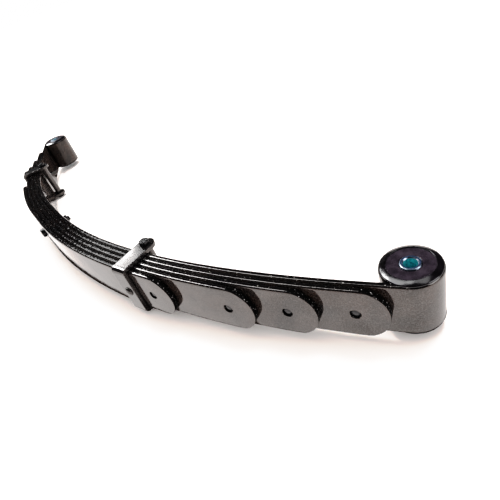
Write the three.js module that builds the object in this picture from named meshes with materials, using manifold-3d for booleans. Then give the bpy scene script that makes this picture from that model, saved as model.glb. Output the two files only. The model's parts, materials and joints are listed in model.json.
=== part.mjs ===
// Leaf spring of a 4x4 front axle: five arched leaves held by a centre bolt and two
// bolt clips, with a rubber-bushed eye rolled into each end of the main leaf.
//
// The spring lies on its side. X runs along the leaves, towards the long (near) half.
// Y points to the concave side, where the eyes are rolled. Z runs along the eye axes.
// The origin is in line with the centre bolt, on the concave face of the main leaf,
// at the height of the leaves' lower edges. Lengths are in millimetres.

import * as THREE from 'three';
import { mergeVertices } from 'three/addons/utils/BufferGeometryUtils.js';
import Module from 'manifold-3d';

const wasm = await Module();
wasm.setup();

// Driving dimensions of the leaves
const LEAF_WIDTH = 63.5;
const LEAF_THICK = 7.2;
const SEAT_GAP = 0.3;             // film of paint between two leaves at the seat
const SEAT_HALF = 30;             // half length of the flat where the axle clamps
const SEAT_CORE = 15;             // half length of the part of it around the centre bolt
const WIDTH_STEPS = 3;            // rows of faces across the main leaf's width
const SEGMENTS_PER_HALF = 18;     // straight steps that follow the arch of one half
const TIP_LENGTH = 30;            // rounded end of a leaf, along the leaf
const TIP_SEGMENTS = 14;
const PAD_SETBACK = 33;           // pad hole behind the tip of its leaf
const NAMES = ['main', 'second', 'third', 'fourth', 'fifth'];
const TIP_GAPS = [0, 1.9, 1.9, 1.9, 1.2];  // opening above each leaf's tip

// The two halves. Lengths are measured along the main leaf from the centre bolt;
// the first reach is where the main leaf starts to roll into its eye.
// bend is the curvature of the main leaf just past the flat, per mm, and
// ease lowers it towards the eye: heading lost per mm squared.
const HALVES = {
  near: {
    side: 1,
    bend: 0.001213,
    ease: 6.07e-7,
    reach: [643, 628, 560, 492, 382],
    clip: 309,
    clipLeaf: 4,
  },
  far: {
    side: -1,
    bend: 0.00166,
    ease: 1.85e-6,
    reach: [452, 420, 370, 335, 214],
    clip: 255,
    clipLeaf: 3,
  },
};

// Eyes and bushes
const EYE_RADIUS = 30;
const EYE_BORE = EYE_RADIUS - LEAF_THICK;
const EYE_WRAP = THREE.MathUtils.degToRad(315);  // how far the leaf rolls round the bush
const EYE_SEGMENTS = 32;
const BUSH_CLEARANCE = 0.3;
const BUSH_FLANGE = 29;
const BUSH_RIM_WIDTH = 6.5;
const BUSH_RIM_HEIGHT = 3.4;
const BUSH_RIM_ROUND = 1.6;       // rounding of its outer edge
const BUSH_FACE_HEIGHT = 2.5;
const BUSH_SPLIT = 0.3;           // half of the slit between the two bush halves
const SLEEVE_RADIUS = 10.3;
const SLEEVE_BORE = 6.5;
const SLEEVE_PROUD = 3.9;         // sleeve end above the edge of the leaf
const SLEEVE_CHAMFER = 0.9;
const SLEEVE_CLEARANCE = 0.12;
const ROUND_SEGMENTS = 30;

// Bolt clips
const STRAP_WIDTH = 25.4;
const STRAP_THICK = 5.5;
const STRAP_CLEARANCE = 0.4;
const STRAP_BEND = 8;
const STRAP_INNER_BEND = 0.9;
const CLIP_BOLT_RADIUS = 4;
const CLIP_BOLT_REACH = 8;        // bolt axis in front of the concave face
const CLIP_HEX_FLATS = 12.7;
const CLIP_HEAD_HEIGHT = 5.4;
const CLIP_NUT_HEIGHT = 5;
const CLIP_BOLT_PROUD = 0.6;        // bolt end beyond its nut
const TUBE_RADIUS = 6.3;
const RIVET_RADIUS = 4;
const RIVET_HEAD_RADIUS = 6.6;
const RIVET_HEAD_HEIGHT = 3.2;
const HOLE_CLEARANCE = 0.35;

// Centre bolt
const CENTRE_BOLT_RADIUS = 4.76;
const CENTRE_HEAD_RADIUS = 8;
const CENTRE_HEAD_HEIGHT = 6.4;
const CENTRE_HEX_FLATS = 14.3;
const CENTRE_NUT_HEIGHT = 8.2;
const CENTRE_THREAD_END = 12;
const CENTRE_CHAMFER = 0.8;

// Tip pads
const PAD_RADIUS = 17;
const PAD_HOLE_RADIUS = 5.5;
const PAD_BUTTON_RADIUS = 5.2;
const PAD_BUTTON_DEPTH = 6.2;
const PAD_CLEARANCE = 0.25;       // pad to the leaf above it
const PAD_LIFT = 0.4;             // pad to its own leaf, which curves up at its rim

const MIDDLE = LEAF_WIDTH / 2;
const REST_GAP = 0.3;             // gap between a fastener and the face that it bears on

const LOOKS = {
  paint: { color: 0x17161a, roughness: 0.28, metalness: 0.35 },
  rubber: { color: 0x1d1b22, roughness: 0.42, metalness: 0.0 },
  plate: { color: 0x9fb2c4, roughness: 0.3, metalness: 0.9 },
  zinc: { color: 0x3a3c40, roughness: 0.35, metalness: 0.8 },
  pad: { color: 0x0f0f11, roughness: 0.6, metalness: 0.0 },
};

// ---------- the arch ----------

// Heading of the main leaf at a signed distance along it, in radians.
function headingAt(s) {
  const half = s < 0 ? HALVES.far : HALVES.near;
  const past = Math.max(0, Math.abs(s) - SEAT_HALF);
  return half.side * (half.bend * past - half.ease * past * past);
}

// Point of the main leaf's concave face at a signed distance along it,
// found by adding up short steps from the centre bolt.
function pointAt(s) {
  const steps = Math.max(1, Math.ceil(Math.abs(s) / 2));
  const step = s / steps;
  const point = new THREE.Vector2();
  for (let i = 0; i < steps; i += 1) {
    const heading = headingAt((i + 0.5) * step);
    point.x += Math.cos(heading) * step;
    point.y += Math.sin(heading) * step;
  }
  return point;
}

// Depth of a leaf's concave face behind the main leaf's concave face.
function leafDepth(leaf, s) {
  const half = s < 0 ? HALVES.far : HALVES.near;
  let depth = 0;
  for (let i = 1; i <= leaf; i += 1) {
    const opening = (TIP_GAPS[i] - SEAT_GAP) * (s / half.reach[i]) ** 2;
    depth += LEAF_THICK + SEAT_GAP + opening;
  }
  return depth;
}

// Turn of a leaf against the main leaf above it, from the depth that grows along it.
function leafTilt(leaf, s) {
  const half = s < 0 ? HALVES.far : HALVES.near;
  let slope = 0;
  for (let i = 1; i <= leaf; i += 1) {
    slope += 2 * (TIP_GAPS[i] - SEAT_GAP) * s / half.reach[i] ** 2;
  }
  return Math.atan(slope);
}

function offsetPoint(s, depth) {
  const heading = headingAt(s);
  const point = pointAt(s);
  return new THREE.Vector2(
    point.x + depth * Math.sin(heading),
    point.y - depth * Math.cos(heading),
  );
}

// Group placed on the concave face of a leaf: local X along it, local Y outwards.
function groupOnLeaf(leaf, s) {
  const group = new THREE.Group();
  const point = offsetPoint(s, leafDepth(leaf, s));
  group.position.set(point.x, point.y, 0);
  group.rotation.z = headingAt(s) - leafTilt(leaf, s);
  group.updateMatrix();
  return group;
}

// ---------- solids ----------

function toSolid(geometry, matrix = new THREE.Matrix4()) {
  const bare = geometry.clone().applyMatrix4(matrix);
  bare.deleteAttribute('normal');
  bare.deleteAttribute('uv');
  const merged = mergeVertices(bare, 1e-4);
  return new wasm.Manifold(new wasm.Mesh({
    numProp: 3,
    vertProperties: new Float32Array(merged.attributes.position.array),
    triVerts: new Uint32Array(merged.index.array),
  }));
}

function toGeometry(solid) {
  const mesh = solid.getMesh();
  const geometry = new THREE.BufferGeometry();
  geometry.setAttribute('position', new THREE.BufferAttribute(mesh.vertProperties, 3));
  geometry.setIndex(new THREE.BufferAttribute(mesh.triVerts, 1));
  return geometry;
}

function namedMesh(name, geometry, look) {
  const mesh = new THREE.Mesh(geometry, new THREE.MeshStandardMaterial(LOOKS[look]));
  mesh.name = name;
  return mesh;
}

// Turned solid about Z from a closed or axis-to-axis profile of [radius, height].
function revolve(profile, segments = ROUND_SEGMENTS) {
  const points = profile.map(([radius, height]) => new THREE.Vector2(radius, height));
  return new THREE.LatheGeometry(points, segments).rotateX(Math.PI / 2);
}

function rod(radius, bottom, top, segments = 16) {
  return revolve([[0, bottom], [radius, bottom], [radius, top], [0, top]], segments);
}

function tube(inner, outer, bottom, top, segments = 20) {
  return revolve(
    [[inner, bottom], [outer, bottom], [outer, top], [inner, top], [inner, bottom]],
    segments,
  );
}

function hexPrism(flats, bottom, top) {
  const height = top - bottom;
  const corner = flats / Math.sqrt(3);
  const prism = new THREE.CylinderGeometry(corner, corner, height, 6);
  return prism.rotateX(Math.PI / 2).translate(0, 0, bottom + height / 2);
}

// Turns a solid built along Z so that it runs along Y instead, Z to Y and X to X.
function alongY(geometry) {
  return geometry.rotateX(-Math.PI / 2);
}

function extrude(shape, depth, curveSegments = 8, steps = 1) {
  return new THREE.ExtrudeGeometry(shape, { depth, bevelEnabled: false, curveSegments, steps });
}

// ---------- leaves ----------

function stations(from, to) {
  const list = [];
  for (let i = 0; i <= SEGMENTS_PER_HALF; i += 1) {
    list.push(from + (to - from) * (i / SEGMENTS_PER_HALF));
  }
  return list;
}

// Distances along the arch at which a leaf's outline has corners, far end to near end.
function leafStations(leaf) {
  return [
    ...stations(-HALVES.far.reach[leaf], -SEAT_HALF),
    -SEAT_CORE,
    SEAT_CORE,
    ...stations(SEAT_HALF, HALVES.near.reach[leaf]),
  ];
}

// Points of one rolled eye at a radius, from its tangent point on the leaf outwards.
function eyeArc(half, radius) {
  const end = half.side * half.reach[0];
  const heading = headingAt(end);
  const centre = eyeCentre(half);
  const points = [];
  for (let i = 0; i <= EYE_SEGMENTS; i += 1) {
    const turn = -Math.PI / 2 + EYE_WRAP * (i / EYE_SEGMENTS);
    const angle = half.side > 0 ? heading + turn : heading + Math.PI - turn;
    points.push(new THREE.Vector2(
      centre.x + radius * Math.cos(angle),
      centre.y + radius * Math.sin(angle),
    ));
  }
  return points;
}

function eyeCentre(half) {
  return offsetPoint(half.side * half.reach[0], -EYE_BORE);
}

function mainLeafOutline() {
  const inside = leafStations(0).slice(1, -1);
  const outer = inside.map((s) => offsetPoint(s, LEAF_THICK));
  const inner = inside.map((s) => offsetPoint(s, 0));
  return [
    ...outer,
    ...eyeArc(HALVES.near, EYE_RADIUS),
    ...eyeArc(HALVES.near, EYE_BORE).reverse(),
    ...inner.reverse(),
    ...eyeArc(HALVES.far, EYE_BORE),
    ...eyeArc(HALVES.far, EYE_RADIUS).reverse(),
  ];
}

function shortLeafOutline(leaf) {
  const places = leafStations(leaf);
  const outer = places.map((s) => offsetPoint(s, leafDepth(leaf, s) + LEAF_THICK));
  const inner = places.map((s) => offsetPoint(s, leafDepth(leaf, s)));
  return [...outer, ...inner.reverse()];
}

// Everything outside the rounded end of a leaf, as a prism through its thickness.
function tipCutter(leaf, half) {
  const margin = 4;
  const start = -TIP_LENGTH;
  const shape = new THREE.Shape();
  shape.moveTo(start * half.side, -margin);
  shape.lineTo(margin * half.side, -margin);
  shape.lineTo(margin * half.side, LEAF_WIDTH + margin);
  shape.lineTo(start * half.side, LEAF_WIDTH + margin);
  for (let i = 0; i <= TIP_SEGMENTS; i += 1) {
    const angle = Math.PI / 2 - Math.PI * (i / TIP_SEGMENTS);
    shape.lineTo(
      half.side * (start + TIP_LENGTH * Math.cos(angle)),
      MIDDLE + MIDDLE * Math.sin(angle),
    );
  }
  const through = 6 * LEAF_THICK;
  const prism = extrude(shape, through).rotateX(Math.PI / 2).translate(0, through / 2, 0);
  return toSolid(prism, groupOnLeaf(leaf, half.side * half.reach[leaf]).matrix);
}

// Round hole through a leaf's thickness at a signed distance along the arch.
function crossHole(radius, s, leaf) {
  const drill = alongY(rod(radius, -2 * LEAF_THICK, LEAF_THICK)).translate(0, 0, MIDDLE);
  return toSolid(drill, groupOnLeaf(leaf, s).matrix);
}

function padPlace(leaf, half) {
  return half.side * (half.reach[leaf] - PAD_SETBACK);
}

function leafMesh(leaf) {
  const outline = new THREE.Shape(leaf === 0 ? mainLeafOutline() : shortLeafOutline(leaf));
  let solid = toSolid(extrude(outline, LEAF_WIDTH, 8, leaf === 0 ? WIDTH_STEPS : 1));
  solid = solid.subtract(crossHole(CENTRE_BOLT_RADIUS + HOLE_CLEARANCE, 0, leaf));
  for (const half of Object.values(HALVES)) {
    if (leaf > 0) {
      solid = solid.subtract(tipCutter(leaf, half));
      solid = solid.subtract(crossHole(PAD_HOLE_RADIUS, padPlace(leaf, half), leaf));
    }
    if (leaf === half.clipLeaf) {
      const place = half.side * half.clip;
      solid = solid.subtract(crossHole(RIVET_RADIUS + HOLE_CLEARANCE, place, leaf));
    }
  }
  return namedMesh(`${NAMES[leaf]}_leaf`, toGeometry(solid), 'paint');
}

// Low-friction pad that lies on a leaf's tip, under the next longer leaf,
// with a button that drops into the hole of the leaf.
function padMesh(leaf, halfName) {
  const half = HALVES[halfName];
  const place = padPlace(leaf, half);
  const opening = (TIP_GAPS[leaf] - SEAT_GAP) * (place / half.reach[leaf]) ** 2 + SEAT_GAP;
  const top = opening - PAD_CLEARANCE;
  const profile = [
    [0, -PAD_BUTTON_DEPTH],
    [PAD_BUTTON_RADIUS, -PAD_BUTTON_DEPTH],
    [PAD_BUTTON_RADIUS, PAD_LIFT],
    [PAD_RADIUS, PAD_LIFT],
    [PAD_RADIUS, top],
    [0, top],
  ];
  const group = groupOnLeaf(leaf, place);
  const mesh = namedMesh(`${NAMES[leaf]}_leaf_${halfName}_pad`, revolve(profile, 20), 'pad');
  mesh.rotation.x = -Math.PI / 2;
  mesh.position.z = MIDDLE;
  group.add(mesh);
  return group;
}

// ---------- centre bolt ----------

function centreBolt() {
  const packDepth = leafDepth(4, 0) + LEAF_THICK;
  const underHead = -packDepth - REST_GAP;
  const profile = [
    [0, underHead - CENTRE_HEAD_HEIGHT],
    [CENTRE_HEAD_RADIUS - CENTRE_CHAMFER, underHead - CENTRE_HEAD_HEIGHT],
    [CENTRE_HEAD_RADIUS, underHead - CENTRE_HEAD_HEIGHT + CENTRE_CHAMFER],
    [CENTRE_HEAD_RADIUS, underHead],
    [CENTRE_BOLT_RADIUS, underHead],
    [CENTRE_BOLT_RADIUS, CENTRE_THREAD_END - CENTRE_CHAMFER],
    [CENTRE_BOLT_RADIUS - CENTRE_CHAMFER, CENTRE_THREAD_END],
    [0, CENTRE_THREAD_END],
  ];
  const mesh = namedMesh('centre_bolt', revolve(profile, 20), 'zinc');
  mesh.rotation.x = -Math.PI / 2;
  mesh.position.z = MIDDLE;
  return mesh;
}

function hexNut(name, flats, height, boltRadius) {
  const bore = rod(boltRadius + HOLE_CLEARANCE, -1, height + 1);
  const solid = toSolid(hexPrism(flats, 0, height)).subtract(toSolid(bore));
  return namedMesh(name, toGeometry(solid), 'zinc');
}

function centreNut() {
  const nut = hexNut('centre_bolt_nut', CENTRE_HEX_FLATS, CENTRE_NUT_HEIGHT, CENTRE_BOLT_RADIUS);
  nut.rotation.x = -Math.PI / 2;
  nut.position.set(0, REST_GAP, MIDDLE);
  return nut;
}

// ---------- eyes ----------

// One half of the bush pair, built with its flange up and its slit at height zero.
function bushProfile() {
  const inner = SLEEVE_RADIUS + SLEEVE_CLEARANCE;
  const barrel = EYE_BORE - BUSH_CLEARANCE;
  const edge = MIDDLE + BUSH_CLEARANCE;
  const face = MIDDLE + BUSH_FACE_HEIGHT;
  const crest = MIDDLE + BUSH_RIM_HEIGHT;
  const rimStart = BUSH_FLANGE - BUSH_RIM_WIDTH;
  return [
    [inner, BUSH_SPLIT],
    [barrel, BUSH_SPLIT],
    [barrel, edge],
    [BUSH_FLANGE, edge],
    [BUSH_FLANGE, crest - BUSH_RIM_ROUND],
    [BUSH_FLANGE - 0.75 * BUSH_RIM_ROUND, crest - 0.25 * BUSH_RIM_ROUND],
    [BUSH_FLANGE - 1.5 * BUSH_RIM_ROUND, crest],
    [rimStart + BUSH_RIM_ROUND, crest],
    [rimStart, face],
    [inner, face],
    [inner, BUSH_SPLIT],
  ];
}

function sleeveProfile() {
  const end = MIDDLE + SLEEVE_PROUD;
  const bevel = SLEEVE_CHAMFER;
  return [
    [SLEEVE_BORE, -end + bevel / 2],
    [SLEEVE_BORE + bevel / 2, -end],
    [SLEEVE_RADIUS - bevel, -end],
    [SLEEVE_RADIUS, -end + bevel],
    [SLEEVE_RADIUS, end - bevel],
    [SLEEVE_RADIUS - bevel, end],
    [SLEEVE_BORE + bevel / 2, end],
    [SLEEVE_BORE, end - bevel / 2],
    [SLEEVE_BORE, -end + bevel / 2],
  ];
}

function eyeGroup(halfName) {
  const centre = eyeCentre(HALVES[halfName]);
  const group = new THREE.Group();
  group.position.set(centre.x, centre.y, MIDDLE);
  const upper = namedMesh(`${halfName}_bush_upper`, revolve(bushProfile()), 'rubber');
  const lower = namedMesh(`${halfName}_bush_lower`, revolve(bushProfile()), 'rubber');
  lower.rotation.x = Math.PI;
  const sleeve = namedMesh(`${halfName}_eye_sleeve`, revolve(sleeveProfile()), 'plate');
  group.add(upper, lower, sleeve);
  return group;
}

// ---------- bolt clips ----------

// Where the faces of a clip lie in the frame of the leaf that carries it:
// web and back across the pack, along Y, and the ears above and below it, along Z.
function clipRows(half) {
  const place = half.side * half.clip;
  const web = -LEAF_THICK - STRAP_CLEARANCE;
  return {
    place,
    web,
    back: web - STRAP_THICK,
    bolt: leafDepth(half.clipLeaf, place) + CLIP_BOLT_REACH,
    low: -STRAP_CLEARANCE,
    high: LEAF_WIDTH + STRAP_CLEARANCE,
    bottom: -STRAP_CLEARANCE - STRAP_THICK,
    top: LEAF_WIDTH + STRAP_CLEARANCE + STRAP_THICK,
  };
}

function strapProfile(rows) {
  const earEnd = rows.bolt + STRAP_WIDTH;
  const inner = STRAP_INNER_BEND;
  const outer = STRAP_BEND;
  const shape = new THREE.Shape();
  shape.moveTo(earEnd, rows.bottom);
  shape.lineTo(earEnd, rows.low);
  shape.lineTo(rows.web + inner, rows.low);
  shape.absarc(rows.web + inner, rows.low + inner, inner, -Math.PI / 2, Math.PI, true);
  shape.lineTo(rows.web, rows.high - inner);
  shape.absarc(rows.web + inner, rows.high - inner, inner, Math.PI, Math.PI / 2, true);
  shape.lineTo(earEnd, rows.high);
  shape.lineTo(earEnd, rows.top);
  shape.lineTo(rows.back + outer, rows.top);
  shape.absarc(rows.back + outer, rows.top - outer, outer, Math.PI / 2, Math.PI, false);
  shape.lineTo(rows.back, rows.bottom + outer);
  shape.absarc(rows.back + outer, rows.bottom + outer, outer, Math.PI, 1.5 * Math.PI, false);
  return shape;
}

// Plan of the strap seen along Z: straight sides and a round end on each ear.
function strapPlan(rows) {
  const half = STRAP_WIDTH / 2;
  const shape = new THREE.Shape();
  shape.moveTo(-half, rows.back - 1);
  shape.lineTo(half, rows.back - 1);
  shape.lineTo(half, rows.bolt);
  shape.absarc(0, rows.bolt, half, 0, Math.PI, false);
  return shape;
}

function strapMesh(name, rows) {
  const toClipPlane = new THREE.Matrix4().makeBasis(
    new THREE.Vector3(0, 1, 0),
    new THREE.Vector3(0, 0, 1),
    new THREE.Vector3(1, 0, 0),
  );
  const bent = extrude(strapProfile(rows), STRAP_WIDTH).translate(0, 0, -STRAP_WIDTH / 2);
  const tall = rows.top - rows.bottom + 2;
  const plan = extrude(strapPlan(rows), tall, 12).translate(0, 0, rows.bottom - 1);
  const boltHole = rod(CLIP_BOLT_RADIUS + HOLE_CLEARANCE, rows.bottom - 1, rows.top + 1);
  boltHole.translate(0, rows.bolt, 0);
  const rivetHole = alongY(rod(RIVET_RADIUS + HOLE_CLEARANCE, rows.back - 1, rows.web + 1));
  rivetHole.translate(0, 0, MIDDLE);
  const solid = toSolid(bent, toClipPlane)
    .intersect(toSolid(plan))
    .subtract(toSolid(boltHole))
    .subtract(toSolid(rivetHole));
  return namedMesh(name, toGeometry(solid), 'paint');
}

// Rivet through the strap and the leaf: domed head outside, flush inside.
function rivetMesh(name, rows) {
  const seat = rows.back - REST_GAP;
  const dome = RIVET_HEAD_HEIGHT;
  const end = rows.web + STRAP_CLEARANCE + LEAF_THICK - REST_GAP;
  const profile = [
    [0, seat - dome],
    [RIVET_HEAD_RADIUS * 0.5, seat - dome * 0.87],
    [RIVET_HEAD_RADIUS * 0.87, seat - dome * 0.5],
    [RIVET_HEAD_RADIUS, seat],
    [RIVET_RADIUS, seat],
    [RIVET_RADIUS, end],
    [0, end],
  ];
  const mesh = namedMesh(name, revolve(profile, 16), 'paint');
  mesh.rotation.x = -Math.PI / 2;
  mesh.position.z = MIDDLE;
  return mesh;
}

function clipBoltMesh(name, rows) {
  const seat = rows.top + REST_GAP;
  const end = rows.bottom - REST_GAP - CLIP_NUT_HEIGHT - CLIP_BOLT_PROUD;
  const head = toSolid(hexPrism(CLIP_HEX_FLATS, seat, seat + CLIP_HEAD_HEIGHT));
  const shank = toSolid(rod(CLIP_BOLT_RADIUS, end, seat + 1));
  return namedMesh(name, toGeometry(head.add(shank)), 'zinc');
}

function clipGroup(halfName) {
  const half = HALVES[halfName];
  const rows = clipRows(half);
  const group = groupOnLeaf(half.clipLeaf, rows.place);
  const bolt = clipBoltMesh(`${halfName}_clip_bolt`, rows);
  const spacer = namedMesh(
    `${halfName}_clip_spacer`,
    tube(CLIP_BOLT_RADIUS + HOLE_CLEARANCE, TUBE_RADIUS, 0, LEAF_WIDTH),
    'paint',
  );
  const nut = hexNut(
    `${halfName}_clip_nut`,
    CLIP_HEX_FLATS,
    CLIP_NUT_HEIGHT,
    CLIP_BOLT_RADIUS,
  );
  nut.position.z = rows.bottom - REST_GAP - CLIP_NUT_HEIGHT;
  for (const piece of [bolt, spacer, nut]) {
    piece.position.y = rows.bolt;
  }
  group.add(strapMesh(`${halfName}_clip_strap`, rows), rivetMesh(`${halfName}_clip_rivet`, rows));
  group.add(bolt, spacer, nut);
  return group;
}

// ---------- assembly ----------

const spring = new THREE.Group();
for (let leaf = 0; leaf < NAMES.length; leaf += 1) {
  spring.add(leafMesh(leaf));
}
for (const halfName of Object.keys(HALVES)) {
  for (let leaf = 1; leaf < NAMES.length; leaf += 1) {
    spring.add(padMesh(leaf, halfName));
  }
  spring.add(clipGroup(halfName));
  spring.add(eyeGroup(halfName));
}
spring.add(centreBolt(), centreNut());

export default spring;
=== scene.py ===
"""Looks of the leaf spring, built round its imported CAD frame.

The spring lies on its side on a pale floor. X runs along the leaves towards the near
half, Y to the concave side, Z up along the eye axes. The origin is in line with the
centre bolt, on the main leaf's concave face, level with the leaves' lower edges.
Shapes are worked out in millimetres and turned into metres when a mesh is made.
"""

import json
import math

import bmesh
import bpy
import numpy as np
from mathutils import Matrix, Vector

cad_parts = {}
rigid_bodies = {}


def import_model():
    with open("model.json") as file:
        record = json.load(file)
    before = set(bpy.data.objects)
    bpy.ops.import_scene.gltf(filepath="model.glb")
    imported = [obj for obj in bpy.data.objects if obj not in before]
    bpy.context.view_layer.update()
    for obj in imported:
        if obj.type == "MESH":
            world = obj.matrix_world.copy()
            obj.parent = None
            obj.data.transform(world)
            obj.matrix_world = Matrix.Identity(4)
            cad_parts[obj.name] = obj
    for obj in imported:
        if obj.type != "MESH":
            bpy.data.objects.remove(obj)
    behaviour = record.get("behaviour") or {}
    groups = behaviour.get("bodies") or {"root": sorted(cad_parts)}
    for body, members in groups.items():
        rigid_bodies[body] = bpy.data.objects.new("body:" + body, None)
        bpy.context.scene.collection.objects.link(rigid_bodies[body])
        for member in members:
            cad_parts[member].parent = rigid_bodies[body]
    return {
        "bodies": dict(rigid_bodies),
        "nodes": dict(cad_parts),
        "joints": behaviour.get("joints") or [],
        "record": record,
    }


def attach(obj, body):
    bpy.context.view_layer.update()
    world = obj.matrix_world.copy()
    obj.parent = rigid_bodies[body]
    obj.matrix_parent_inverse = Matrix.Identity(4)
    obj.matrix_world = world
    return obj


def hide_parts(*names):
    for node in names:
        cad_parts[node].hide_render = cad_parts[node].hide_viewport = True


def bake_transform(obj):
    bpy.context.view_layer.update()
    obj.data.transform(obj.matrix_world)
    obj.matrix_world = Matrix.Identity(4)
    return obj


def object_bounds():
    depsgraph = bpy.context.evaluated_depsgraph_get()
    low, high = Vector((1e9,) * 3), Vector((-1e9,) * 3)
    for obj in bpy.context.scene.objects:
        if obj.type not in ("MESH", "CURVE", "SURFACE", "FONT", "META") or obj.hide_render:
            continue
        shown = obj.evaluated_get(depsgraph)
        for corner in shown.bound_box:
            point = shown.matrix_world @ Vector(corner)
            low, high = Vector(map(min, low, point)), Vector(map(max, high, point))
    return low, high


MM = 0.001

# ---------- sizes, in millimetres ----------

LEAF_WIDTH = 63.5
LEAF_THICK = 7.2
LEAF_EDGE = 2.75         # rounding of the leaves' long edges
TIP_EDGE = 0.6           # and of their trimmed tips
TRIM_START = 4           # the one turns into the other from here past the tip's start
TRIM_FADE = 7            # over this length
MIDDLE = LEAF_WIDTH / 2
SEAT_GAP = 0.3           # between two leaves at the centre bolt
SEAT_HALF = 30           # the pack is straight this far either side of the centre bolt
TIP_LENGTH = 30
PAD_SETBACK = 33         # from a leaf's tip back to its pad
LEAVES = ["main", "second", "third", "fourth", "fifth"]
TIP_GAPS = [0, 1.9, 1.9, 1.9, 1.2]  # between each leaf's tip and the leaf before it

# bend and ease give the heading along a half; reach is each leaf's length from the
# centre bolt; clip is how far along its clip sits, on the leaf numbered clip_leaf
NEAR = {
    "name": "near",
    "side": 1,
    "bend": 0.001213,
    "ease": 6.07e-7,
    "reach": [643, 628, 560, 492, 382],
    "clip": 309,
    "clip_leaf": 4,
}
FAR = {
    "name": "far",
    "side": -1,
    "bend": 0.00166,
    "ease": 1.85e-6,
    "reach": [452, 420, 370, 335, 214],
    "clip": 255,
    "clip_leaf": 3,
}

EYE_RADIUS = 30
EYE_BORE = EYE_RADIUS - LEAF_THICK
EYE_WRAP = math.radians(315)

BUSH_FIT = 0.12          # between the bush and its sleeve
BUSH_FLANGE = 29         # radii of the flange, the barrel and the raised rim's inside
BUSH_BARREL = 22.5
BUSH_RIM_START = 22.4
BUSH_CREST = 3.4         # heights of the rim and the face above the leaf's edge
BUSH_FACE = 2.5
BUSH_MOUTH = 0.5         # chamfer of the face round the sleeve
BUSH_CORNER = 0.3        # rounding of the flange's lower corner
BUSH_SLOPE_RISE = 2.0
BUSH_FOOT_ROUND = 1.7
BUSH_FOOT_DROP = 1.6     # from the slope's foot down to the middle of its rounding
BUSH_CREST_ROUND = 0.5
BUSH_CREST_SET = 0.8     # from the rim's inside out to the middle of the crest's rounding
GROOVE_WIDTH = 0.5       # shallow groove between rim and face
GROOVE_DEPTH = 0.15
GROOVE_LIP = 0.1
RING_OUTER_SET = 0.9     # the face's rings start this far inside the rim
RING_HEIGHT = 0.02       # faint moulded rings on the bush's face
RING_PITCH = 1.9
SLEEVE_RADIUS = 10.3
SLEEVE_BORE = 6.5
SLEEVE_INNER_CHAMFER = 1.1
SLEEVE_PROUD = 3.9       # the sleeve stands this far past the leaf's edge
SLEEVE_CHAMFER = 0.9
SLEEVE_EASE = 0.1        # softening of the sleeve's corners

STRAP_WIDTH = 25.4
STRAP_THICK = 5.5
STRAP_CLEARANCE = 0.4
STRAP_INNER_BEND = 0.9
STRAP_EDGE = 0.6
CLIP_BOLT_RADIUS = 4
CLIP_BOLT_REACH = 8      # from the main leaf's concave face to the bolt's axis
CLIP_THREAD_LENGTH = 12  # above the nut's lower face
BOLT_POINT = 0.6         # chamfer at the clip bolt's end
CLIP_HEX_FLATS = 12.7
CLIP_HEAD_HEIGHT = 5.4
CLIP_NUT_HEIGHT = 5
CLIP_BOLT_PROUD = 0.6
TUBE_RADIUS = 6.3
TUBE_EDGE = 0.4
NUT_FIT = 0.05           # between a nut's bore and its bolt
RIVET_RADIUS = 4
RIVET_HEAD_RADIUS = 6.6
RIVET_HEAD_HEIGHT = 3.2
THREAD_PITCH = 1.27
THREAD_DEPTH = 0.55
THREAD_TOP = 0.08        # the crests lie this far inside the bolt's radius
THREAD_CREST = (0.42, 0.58)  # where a crest starts and stops, in pitches
HEX_FACE = 0.93          # flat round face of a hexagon, against its width across flats
HEX_CONE = math.tan(math.radians(30))
HEX_EASE = 0.25          # softening of a hexagon's edges
HEX_SEGMENTS = 96

CENTRE_BOLT_RADIUS = 4.76
CENTRE_HEAD_RADIUS = 8
CENTRE_HEAD_HEIGHT = 6.4
CENTRE_HEAD_ROUND = 1
CENTRE_HEAD_FLAT = 6.8   # radius of a ring that keeps the crown's shading flat
CENTRE_HEX_FLATS = 14.3
CENTRE_NUT_HEIGHT = 8.2
CENTRE_THREAD_END = 12
CENTRE_POINT = (1.3, 0.9)  # chamfer at the centre bolt's end: inwards and along

PAD_RADIUS = 17
PAD_HOLE_RADIUS = 5.5
PAD_BUTTON_RADIUS = 5.2
PAD_BUTTON_DEPTH = 6.2
PAD_BUTTON_DOME = 2.4
PAD_CLEARANCE = 0.25
PAD_LIFT = 0.4
PAD_EDGE = 0.4           # rounding of a pad's edge, as a share of its thickness

REST_GAP = 0.3           # between pieces that rest on each other
HOLE_CLEARANCE = 0.35
HOLE_FLARE = 0.5         # a drilled hole's edges are broken by this much
WALL_FACING = 0.6        # a leaf's walls have less than this of their normal across it
END_FACING = 0.95        # a sleeve's end faces have more than this of it along the axis
RIVET_ROOM = 2.4         # round a clip's rivet in its leaf, for the slip when the leaf bends

# ---------- fineness of the meshes, in millimetres or in steps ----------

MERGE = 1e-4             # points closer than this become one
LEAF_STEP = 5            # along a leaf
EYE_STEP = 1.6           # along the leaf where it rolls into the eye
CORNER_STEPS = 5         # round a corner of the main leaf's end
LEAF_ROWS = 10           # across a leaf
TIP_STEPS = 40           # round half of a leaf's tip
HOLE_SEGMENTS = 48
BEND_STEP = 0.6          # along a strap where it bends
STRAP_STEP = 3           # and where it is straight
BUSH_SEGMENTS = 128
RING_STEPS = 60
BORE_STEPS = 24
FASTENER_SEGMENTS = 48

# ---------- paint ----------

BRIGHT_EDGES = (0.29, 0.315)  # from here to there, in metres, the leaves' edges turn glossier
DULL_END = (-0.36, -0.32)     # up to here the far end's paint is dull, from there it is glossy
DULL_GLOSS = 0.26
FULL_GLOSS = 0.48

# ---------- floor, light and camera ----------

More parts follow.
